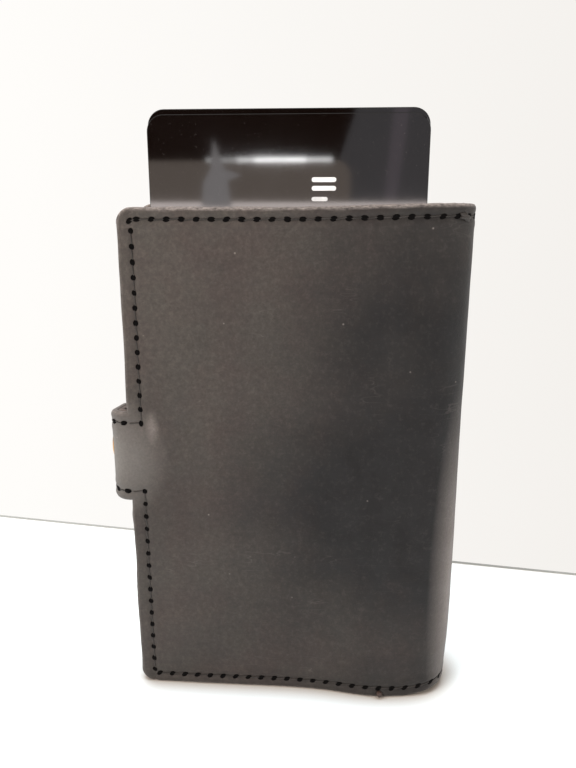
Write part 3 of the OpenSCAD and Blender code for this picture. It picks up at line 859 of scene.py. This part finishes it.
    # Fine dark pores, then hairline scratches in a few areas, and specks
    pores = add(tree, "ShaderNodeTexNoise", {"Vector": where, "Scale": 2, "Detail": 2, "Roughness": 0.6})
    pores = add(tree, "ShaderNodeMapRange", {
        "Value": pores, "From Min": 0.25, "From Max": 0.75, "To Max": 0.22})
    colour = add(tree, "ShaderNodeMix", {0: pores, 6: colour, 7: dark}, data_type="RGBA").outputs[2]
    drawn = add(tree, "ShaderNodeMapping", {"Vector": where, "Scale": (0.1, 0.9, 0.45)})
    hair = add(tree, "ShaderNodeTexNoise", {"Vector": drawn, "Scale": 1, "Detail": 2, "Roughness": 0.5})
    hair = add(tree, "ShaderNodeMath", {0: hair, 1: 0.5}, operation="SUBTRACT")
    hair = add(tree, "ShaderNodeMath", {0: hair}, operation="ABSOLUTE")
    line = add(tree, "ShaderNodeMapRange", {
        "Value": hair, "From Min": 0.0, "From Max": 0.012, "To Min": 1.0, "To Max": 0.0})
    marked = add(tree, "ShaderNodeTexNoise", {"Vector": where, "Scale": 1 / 12, "Detail": 2})
    marked = add(tree, "ShaderNodeMapRange", {
        "Value": marked, "From Min": 0.58, "From Max": 0.7, "To Max": 0.07 * marks_on})
    marked = add(tree, "ShaderNodeMath", {0: line, 1: marked}, operation="MULTIPLY")
    colour = add(tree, "ShaderNodeMix", {0: marked, 6: colour, 7: edge}, data_type="RGBA").outputs[2]
    dots = add(tree, "ShaderNodeTexVoronoi", {"Vector": where, "Scale": 0.2})
    speck = add(tree, "ShaderNodeMapRange", {
        "Value": dots, "From Min": 0.015, "From Max": 0.05, "To Min": 0.3 * marks_on, "To Max": 0.0})
    colour = add(tree, "ShaderNodeMix", {0: speck, 6: colour, 7: edge}, data_type="RGBA").outputs[2]

    if attribute:
        # The cut edge: pale fibres, worn unevenly
        rim = add(tree, "ShaderNodeAttribute", attribute_name="rim").outputs["Fac"]
        drawn = add(tree, "ShaderNodeMapping", {"Vector": where, "Scale": (1.4, 4, 1.4)})
        fibre = add(tree, "ShaderNodeTexNoise", {"Vector": drawn, "Scale": 1, "Detail": 4, "Roughness": 0.7})
        fibre = add(tree, "ShaderNodeMapRange", {"Value": fibre, "From Min": 0.3, "From Max": 0.7})
        cut = add(tree, "ShaderNodeMix", {0: fibre, 6: dark, 7: edge}, data_type="RGBA").outputs[2]
        worn = add(tree, "ShaderNodeTexNoise", {"Vector": where, "Scale": 1 / 9, "Detail": 3})
        worn = add(tree, "ShaderNodeMapRange", {
            "Value": worn, "From Min": 0.3, "From Max": 0.7, "To Min": 0.65, "To Max": 1.0})
        worn = add(tree, "ShaderNodeMath", {0: rim, 1: worn}, operation="MULTIPLY")
        colour = add(tree, "ShaderNodeMix", {0: worn, 6: colour, 7: cut}, data_type="RGBA").outputs[2]

    pebble = add(tree, "ShaderNodeTexNoise", {"Vector": where, "Scale": 1.33, "Detail": 4, "Roughness": 0.65})
    creases = add(tree, "ShaderNodeTexNoise", {"Vector": where, "Scale": 0.2, "Detail": 5, "Roughness": 0.7})
    creases = add(tree, "ShaderNodeMath", {0: creases, 1: 1.6}, operation="MULTIPLY")
    height = add(tree, "ShaderNodeMath", {0: pebble, 1: creases}, operation="ADD")
    height = add(tree, "ShaderNodeMath", {0: line, 1: -0.24, 2: height}, operation="MULTIPLY_ADD")
    relief = add(tree, "ShaderNodeBump", {"Strength": 0.5, "Distance": 0.00011, "Height": height})
    dull = add(tree, "ShaderNodeMapRange", {
        "Value": patches, "From Min": 0.3, "From Max": 0.7, "To Min": rough - 0.09, "To Max": rough + 0.1})
    tree.links.new(colour, shader.inputs["Base Color"])
    tree.links.new(dull.outputs[0], shader.inputs["Roughness"])
    tree.links.new(relief.outputs[0], shader.inputs["Normal"])
    return material


def plain(name, one, two, values, size_mm, rough, bump_mm=0.03, grain_mm=0.4, stretch=(1, 1, 1), dust=None):
    """A material with two close colours in clouds of size_mm, a grain of grain_mm drawn out by
    stretch that lifts the face by bump_mm, an uneven roughness and, if given, a dust colour."""
    material, tree, shader = start_material(name, values)
    where = in_mm(tree)
    clouds = add(tree, "ShaderNodeTexNoise", {
        "Vector": where, "Scale": 1 / size_mm, "Detail": 3, "Roughness": 0.55})
    drawn = add(tree, "ShaderNodeMapping", {"Vector": where, "Scale": [1 / (grain_mm * s) for s in stretch]})
    grain = add(tree, "ShaderNodeTexNoise", {"Vector": drawn, "Scale": 1, "Detail": 3, "Roughness": 0.6})
    mix = add(tree, "ShaderNodeMapRange", {"Value": clouds, "From Min": 0.35, "From Max": 0.65})
    colour = add(tree, "ShaderNodeMix", {0: mix, 6: linear(one), 7: linear(two)}, data_type="RGBA").outputs[2]
    if dust:
        specks = add(tree, "ShaderNodeTexNoise", {"Vector": where, "Scale": 2.9, "Detail": 2})
        specks = add(tree, "ShaderNodeMapRange", {
            "Value": specks, "From Min": 0.70, "From Max": 0.78, "To Max": 0.35})
        colour = add(tree, "ShaderNodeMix", {
            0: specks, 6: colour, 7: linear(dust)}, data_type="RGBA").outputs[2]
    relief = add(tree, "ShaderNodeBump", {"Strength": 0.5, "Distance": bump_mm * MM, "Height": grain})
    mixed = add(tree, "ShaderNodeMix", {0: 0.4, 2: clouds, 3: grain})
    dull = add(tree, "ShaderNodeMapRange", {
        "Value": mixed, "From Min": 0.3, "From Max": 0.7, "To Min": rough[0], "To Max": rough[1]})
    tree.links.new(colour, shader.inputs["Base Color"])
    tree.links.new(dull.outputs[0], shader.inputs["Roughness"])
    tree.links.new(relief.outputs[0], shader.inputs["Normal"])
    return material


# Waxed leather, grain side out: matte charcoal brown, with painted light making it paler towards the free
# edges
waxed_leather = leather("waxed_leather", "#453e38", "#0d0a09", "#a3968f", 0.62)
# The lining: same hide, flesh side, duller and a touch redder
lining_hide = leather("lining_leather", "#574c46", "#2f2723", "#a3958c", 0.75, on_cover=False, marks_on=0.3)
# Pocket panels: thin split leather with a plain face
pocket_hide = leather("pocket_leather", "#4c433e", "#2c2521", "#8c8079", 0.68, on_cover=False,
                      attribute=None, marks_on=0.4)
# Waxed polyester thread: black-brown with a dull shine and a fine grain
waxed_thread = plain("waxed_thread", "#231e1a", "#302a26", {"Specular IOR Level": 0.4}, 3, (0.45, 0.6),
                     0.06, 0.25, (1, 1, 1))
# Thread melted to a bead: smooth and browner than the thread
bead_brown = plain("melted_thread", "#281b16", "#3d2c25", {"Specular IOR Level": 0.5}, 0.8, (0.3, 0.45), 0.02)
# The awl's holes: painted shadow in the hole mouths, almost black
painted_hole_shadow = plain("painted_hole_shadow", "#020101", "#060403", {"Specular IOR Level": 0.1}, 2, (0.8, 0.95), 0.02)
# Laminated card: a deep gloss black film with faint unevenness and a little dust
laminate = plain("card_laminate", "#070504", "#0c0908", {"Specular IOR Level": 0.5, "IOR": 1.5},
                 20, (0.035, 0.06), 0.0006, 6, dust="#55504c")
# The printed mark on the card: white ink
white_ink = plain("white_ink", "#e2dfdc", "#cfcbc8", {"Specular IOR Level": 0.4}, 2, (0.3, 0.45), 0.005)
# Cast brass, polished: warm and bright, with fine rubbing marks
polished_brass = plain("polished_brass", "#c2925a", "#a3763e", {"Metallic": 1.0}, 3, (0.16, 0.3),
                       0.004, 0.2, (1, 6, 1), dust="#6b4a1c")
# Bead-blasted, anodised aluminium, drawn along its length
anodised = plain("anodised_aluminium", "#8f9297", "#898c91", {"Metallic": 1.0}, 14, (0.33, 0.39),
                 0.01, 0.25, (1, 1, 30))
# Injection-moulded ABS with a fine spark grain
moulded = plain("moulded_abs", "#1d1d20", "#26262a", {"Specular IOR Level": 0.45}, 9, (0.42, 0.58),
                0.03, 0.35)
# Needle felt: dull, fibrous and soft
needle_felt = plain("needle_felt", "#33322f", "#45433f", {"Sheen Weight": 0.3}, 4, (0.9, 1.0), 0.25, 0.5)
# Thin closed-cell foam pad
foam_pad = plain("foam_pad", "#d3cdbf", "#c2bbab", {}, 6, (0.8, 0.95), 0.08, 0.4)
# Drawn steel wire
steel_wire = plain("steel_wire", "#b9bcc0", "#a2a5aa", {"Metallic": 1.0}, 2, (0.2, 0.35),
                   0.004, 0.15, (1, 20, 1))
# Nickel-plated magnet
nickel = plain("nickel_plate", "#a6a8aa", "#929497", {"Metallic": 1.0}, 4, (0.14, 0.28), 0.003, 0.3)


def finish(obj, material):
    """Gives a piece its one material."""
    obj.data.materials.clear()
    obj.data.materials.append(material)
    return obj


finish(cover_back, waxed_leather)
finish(cover_front, waxed_leather)
finish(liner_back, lining_hide)
finish(liner_front, lining_hide)
finish(strap_leather, waxed_leather)
finish(thread_bead, bead_brown)
finish(strap_liner, lining_hide)
for group in ("back", "front", "strap"):
    finish(stitching[group], waxed_thread)
    finish(stitching["holes_" + group], painted_hole_shadow)
for card in cards.values():
    finish(card, laminate)
finish(card_mark, white_ink)
finish(brass_cap, polished_brass)

node_finish = {
    "flap_tab": pocket_hide, "pocket_lower": pocket_hide, "pocket_upper": pocket_hide,
    "pocket_stitching": waxed_thread, "case_sleeve": anodised, "bottom_cap": moulded,
    "side_guide_left": moulded, "side_guide_right": moulded, "ejector_lever": moulded,
    "card_lifter": moulded, "grip_strip_left": needle_felt, "grip_strip_right": needle_felt,
    "wall_felt": needle_felt, "bonding_pad": foam_pad, "lever_pin": steel_wire,
    "tab_magnet": nickel, "snap_magnet": nickel,
}
for name, material in node_finish.items():
    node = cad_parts[name]
    node.data.materials.clear()
    node.data.materials.append(material)

# --- Baked places for the leather and its stitches, and the bodies that the cards and the brass cap follow ---

for piece in (cover_back, liner_back, stitching["back"], stitching["holes_back"], thread_bead):
    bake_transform(piece)
for piece in (cover_front, liner_front, stitching["front"], stitching["holes_front"]):
    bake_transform(piece)
for piece in (strap_leather, strap_liner, stitching["strap"], stitching["holes_strap"]):
    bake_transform(piece)
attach(cards["front_card"], "front_card")
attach(card_mark, "front_card")
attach(cards["rear_card"], "rear_card")
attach(brass_cap, "strap")

# --- Floor, light and camera ---


def flat_shape(name, corners, material):
    """A flat stage polygon from its corners in mm, in order."""
    mesh = bpy.data.meshes.new(name)
    mesh.from_pydata([tuple(c * MM for c in corner) for corner in corners], [], [tuple(range(len(corners)))])
    obj = bpy.data.objects.new(name, mesh)
    bpy.context.scene.collection.objects.link(obj)
    mesh.materials.append(material)
    return obj


# Matt white board, with a painted warm shadow in the narrow gap where something stands on it
floor_material, floor_tree, floor_shader = start_material("matt_white_board", {
    "Roughness": 0.85, "Specular IOR Level": 0.15})
painted_shadow_ao = add(floor_tree, "ShaderNodeAmbientOcclusion", {"Distance": 0.006}, samples=16).outputs["AO"]
painted_shadow_ao = add(floor_tree, "ShaderNodeMapRange", {"Value": painted_shadow_ao, "From Min": 0.45, "From Max": 0.92})
board = add(floor_tree, "ShaderNodeMix", {
    0: painted_shadow_ao, 6: linear("#a59a90"), 7: linear("#e3e8ea")}, data_type="RGBA").outputs[2]
floor_tree.links.new(board, floor_shader.inputs["Base Color"])
FLOOR_Z = -0.05
FLOOR_HALF = 1500
far = [(-FLOOR_HALF, 271.0, FLOOR_Z), (FLOOR_HALF, -155.0, FLOOR_Z)]
near = [(-FLOOR_HALF, -1600, FLOOR_Z), (FLOOR_HALF, -1600, FLOOR_Z)]
flat_shape("floor", near + far[::-1], floor_material)
# The board's far edge: a thin grey line where it meets the backdrop
edge_material = start_material("board_edge", {
    "Base Color": linear("#9e9e9a"), "Roughness": 0.9, "Specular IOR Level": 0.1})[0]
edge_corners = far + [(far[1][0], far[1][1], 0.6), (far[0][0], far[0][1], 0.6)]
flat_shape("board_edge", edge_corners, edge_material)


def glow(name, code, strength):
    """An even glowing face, for what the glossy cards mirror."""
    material = bpy.data.materials.new(name)
    material.use_nodes = True
    tree = material.node_tree
    tree.nodes.clear()
    light = add(tree, "ShaderNodeEmission", {"Color": linear(code), "Strength": strength})
    add(tree, "ShaderNodeOutputMaterial", {"Surface": light})
    return material


def mirror_only(obj):
    """Seen only in reflections, so that it neither lights nor hides anything."""
    obj.visible_camera = False
    obj.visible_diffuse = False
    obj.visible_shadow = False
    obj.visible_transmission = False
    return obj


def upright_panel(name, outline_points, y, material):
    """A reflector that stands upright behind the camera, from (x, z) points in mm."""
    return mirror_only(flat_shape(name, [(x, y, z) for x, z in outline_points], material))


def round_box(x0, x1, z0, z1, radius):
    """The corners of a box whose upper right corner is round."""
    turn = np.linspace(0, math.pi / 2, 8)
    curve = [(x1 - radius + radius * math.cos(a), z1 - radius + radius * math.sin(a)) for a in turn]
    return [(x0, z0), (x1, z0)] + curve + [(x0, z1)]


# Each reflector's name, y in mm, colour, strength and (x, z) outline in mm
reflectors = [
    ("dark_room", -640, "#4a1e08", 0.9, [(-900, -400), (900, -400), (900, 900), (-900, 900)]),
    ("grey_side", -620, "#f0ecf2", 0.95, [
        (12, -300), (900, -300), (900, 700), (95, 700), (29, 205), (13, 160)]),
    ("lower_wall", -600, "#ffebdd", 1.85, round_box(-900, 26, -300, 159, 16)),
    ("bright_shelf", -594, "#fff2ee", 10.5, [(-900, 96), (900, 96), (900, 117), (-900, 117)]),
]
lamps = ((-124, -92, 6), (-92, -74, 14), (-74, -20, 26), (-20, 7, 13))
for index, (left, right, strength) in enumerate(lamps):
    shape = [(left, 157), (right, 157), (right, 161.5), (left, 161.5)]
    reflectors.append(("bright_line_%d" % index, -595, "#ffffff", strength * 1.3, shape))
reflectors += [
    ("pale_post", -610, "#f6e8f4", 1.45, [(60, 100), (73, 100), (86, 222), (70, 222)]),
    ("leaning_figure", -590, "#efe9ea", 3.9, [
        (-129, 112), (-97, 112), (-101, 138), (-86, 144),
        (-104, 150), (-115, 180), (-119, 150), (-127, 136)]),
]
for name, y, code, strength, shape in reflectors:
    upright_panel(name, shape, y, glow(name, code, strength))

world = bpy.data.worlds.new("soft_white_room")
world.use_nodes = True
world.node_tree.nodes.clear()
heading = add(world.node_tree, "ShaderNodeTexCoord").outputs["Generated"]
sideways = add(world.node_tree, "ShaderNodeSeparateXYZ", {0: heading})
to_right = add(world.node_tree, "ShaderNodeMapRange", {
    "Value": sideways, "From Min": -0.42, "From Max": 0.35})
sky = add(world.node_tree, "ShaderNodeMix", {
    0: to_right, 6: linear("#fffdfa"), 7: linear("#f4f1ed")}, data_type="RGBA").outputs[2]
sky = add(world.node_tree, "ShaderNodeBackground", {"Color": sky, "Strength": 1.0})
add(world.node_tree, "ShaderNodeOutputWorld", {"Surface": sky})
bpy.context.scene.world = world


def soft_light(name, place, aim, size, power):
    """A rectangular soft light at a place in mm, aimed at a point in mm, that no reflection shows."""
    data = bpy.data.lights.new(name, "AREA")
    data.shape = "RECTANGLE"
    data.size, data.size_y = size[0] * MM, size[1] * MM
    data.energy = power
    obj = bpy.data.objects.new(name, data)
    obj.location = Vector(place) * MM
    obj.rotation_euler = (Vector(aim) - Vector(place)).to_track_quat("-Z", "Y").to_euler()
    bpy.context.scene.collection.objects.link(obj)
    obj.visible_glossy = False
    return obj


soft_light("top_light", (-60, 20, 620), (0, 0, 60), (500, 500), 3.2)
soft_light("left_light", (-330, -300, 330), (-20, 0, 80), (260, 260), 2.2)
soft_light("right_light", (250, -60, 40), (37, 0, 28), (120, 120), 0.35)

camera_data = bpy.data.cameras.new("camera")
camera_data.lens = 31.5
camera_data.sensor_width = 36
camera_data.clip_start = 0.005
camera = bpy.data.objects.new("camera", camera_data)
yaw, pitch, roll = math.radians(3.83), math.radians(14.08), math.radians(0.07)
camera.matrix_world = (
    Matrix.Translation(Vector((10.04, -139.03, 103.53)) * MM)
    @ Matrix.Rotation(yaw, 4, "Z")
    @ Matrix.Rotation(math.pi / 2 - pitch, 4, "X")
    @ Matrix.Rotation(roll, 4, "Z"))
bpy.context.scene.collection.objects.link(camera)
bpy.context.scene.camera = camera
bpy.context.scene.view_settings.view_transform = "Standard"
